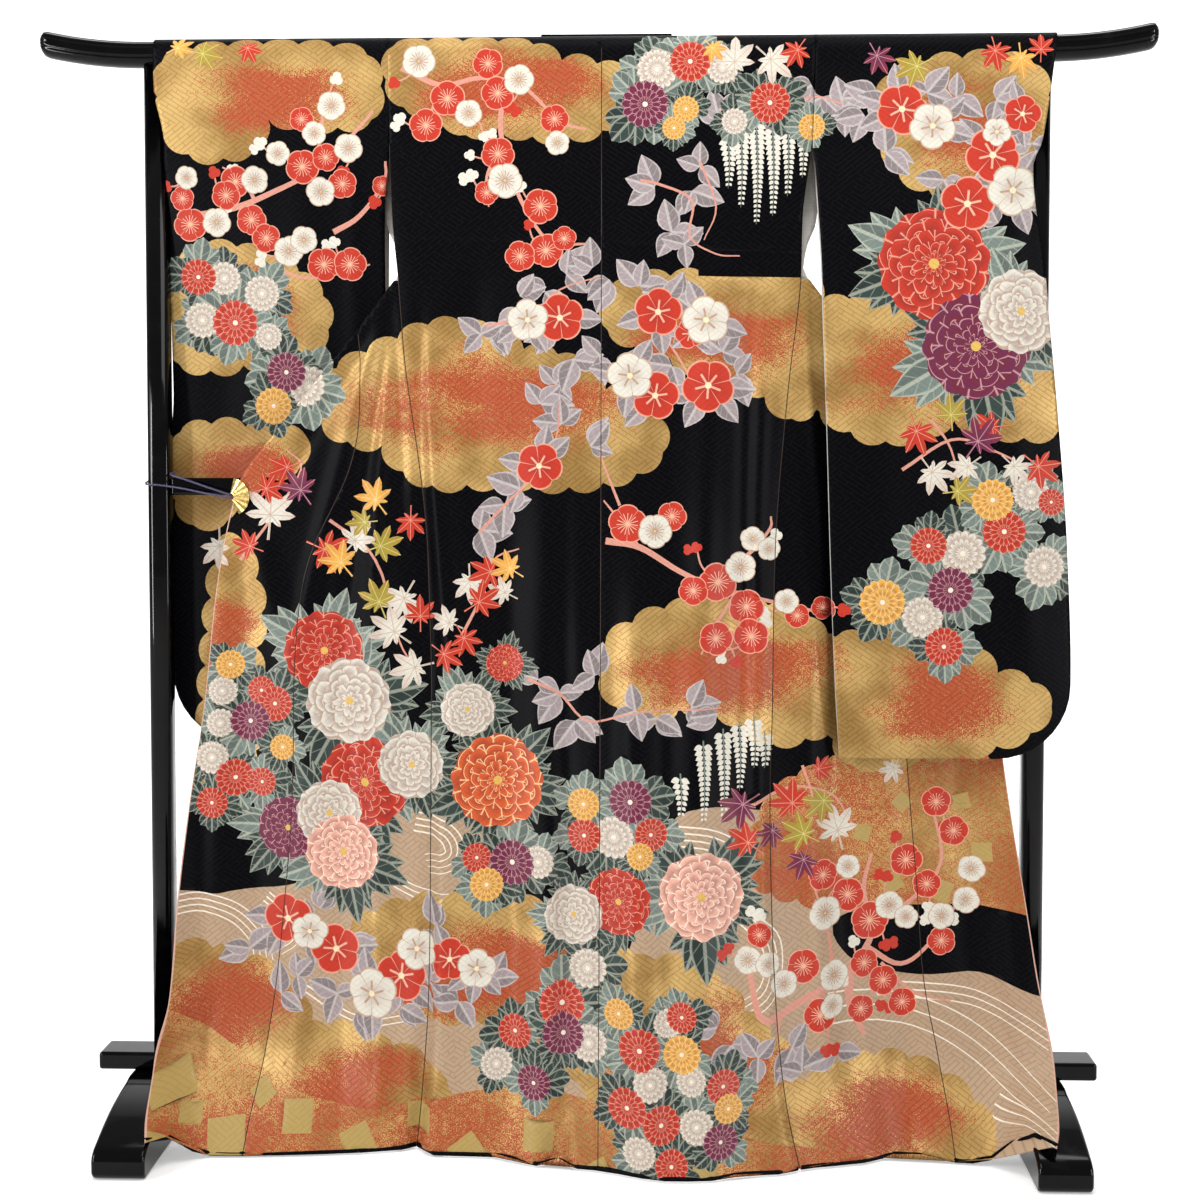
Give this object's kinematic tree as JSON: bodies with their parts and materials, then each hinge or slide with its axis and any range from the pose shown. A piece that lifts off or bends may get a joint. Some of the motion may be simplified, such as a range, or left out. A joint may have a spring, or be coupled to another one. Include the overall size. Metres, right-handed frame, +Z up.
{
  "type": "furisode kimono on a kimono stand",
  "caption": "Long-sleeved dyed silk kimono hung over the top rail of a black lacquered kimono stand, back outward, its fronts swung out to both sides.",
  "frame": {"origin": "on the floor under the middle of the stand", "axes": "+X to the right along the rail as the back of the kimono is seen, -Y the side that its back faces, +Z up"},
  "size_m": [1.604, 0.45, 1.602],
  "materials": {
    "lacquer": "black lacquer, polished",
    "dyed_silk": "figured silk satin, dyed, with gold leaf",
    "hem_silk": "plain black silk",
    "gilt": "gilt, satin",
    "cord": "braided purple silk cord"
  },
  "bodies": {
    "root": {"rail": "lacquer", "post_left": "lacquer", "post_right": "lacquer", "middle_bar": "lacquer", "lower_board": "lacquer", "foot_left": "lacquer", "foot_right": "lacquer", "back_left": "dyed_silk", "back_right": "dyed_silk", "front_left": "dyed_silk", "overlap_left": "dyed_silk", "front_right": "dyed_silk", "overlap_right": "dyed_silk", "front_upper_left": "dyed_silk", "overlap_upper_left": "dyed_silk", "collar_left": "dyed_silk", "front_upper_right": "dyed_silk", "overlap_upper_right": "dyed_silk", "collar_right": "dyed_silk", "sleeve_left_near": "dyed_silk", "sleeve_left_far": "dyed_silk", "sleeve_right_near": "dyed_silk", "sleeve_right_far": "dyed_silk", "collar_back": "dyed_silk", "hem_back_left": "hem_silk", "hem_back_right": "hem_silk", "hem_front_left": "hem_silk", "hem_overlap_left": "hem_silk", "hem_front_right": "hem_silk", "hem_overlap_right": "hem_silk", "fan_clip": "gilt", "tie_cord": "cord"}
  },
  "joints": []
}
